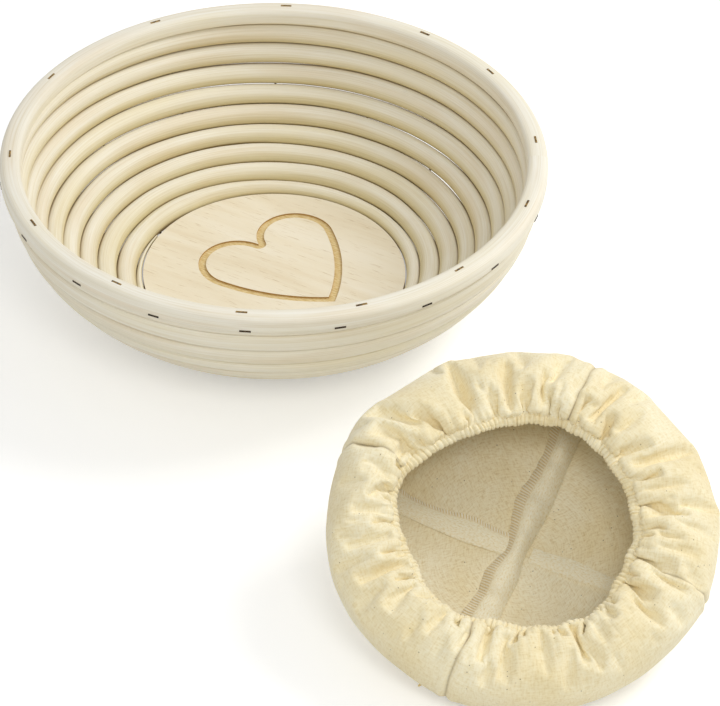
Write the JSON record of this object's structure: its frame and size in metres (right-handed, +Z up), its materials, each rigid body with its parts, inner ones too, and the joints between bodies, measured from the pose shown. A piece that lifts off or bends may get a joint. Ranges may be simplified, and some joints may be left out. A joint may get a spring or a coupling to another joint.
{
  "type": "banneton basket",
  "caption": "Round cane proofing basket with a stapled rim hoop, a routed plywood base and a loose gathered cotton liner.",
  "frame": {"origin": "centre of the base board's underside, on the surface the basket stands on", "axes": "+Z up out of the bowl, along the basket's axis; -Y towards the front, where the cloth liner lies; +X right"},
  "size_m": [0.319, 0.4229, 0.0841],
  "materials": {
    "plywood": "sanded pale birch plywood",
    "wall_cane": "unvarnished peeled cane",
    "rim_cane": "unvarnished peeled cane",
    "staple_wire": "dulled galvanised wire",
    "nail_wire": "dulled galvanised wire",
    "liner_cotton": "unbleached woven cotton",
    "hem_cotton": "unbleached woven cotton",
    "seam_cotton": "overlocked cotton edge",
    "elastic": "covered elastic cord"
  },
  "bodies": {
    "basket": {"base_board": "plywood", "wall_turn_01": "wall_cane", "wall_turn_02": "wall_cane", "wall_turn_03": "wall_cane", "wall_turn_04": "wall_cane", "wall_turn_05": "wall_cane", "wall_turn_06": "wall_cane", "wall_turn_07": "wall_cane", "wall_turn_08": "wall_cane", "wall_turn_09": "wall_cane", "wall_turn_10": "wall_cane", "rim_hoop": "rim_cane", "rim_top_staples": "staple_wire", "rim_side_staples": "staple_wire", "cane_nails": "nail_wire", "board_nails": "nail_wire"},
    "liner": {"liner_gore_1": "liner_cotton", "liner_gore_2": "liner_cotton", "liner_gore_3": "liner_cotton", "liner_gore_4": "liner_cotton", "liner_hem": "hem_cotton", "hem_elastic": "elastic", "liner_seam_long": "seam_cotton", "liner_seam_left": "seam_cotton", "liner_seam_right": "seam_cotton"}
  },
  "joints": [
    {"name": "liner_lift", "type": "slide", "parent": "basket", "child": "liner", "axis": [0, 0, 1], "range_m": [0, 0.12]}
  ]
}
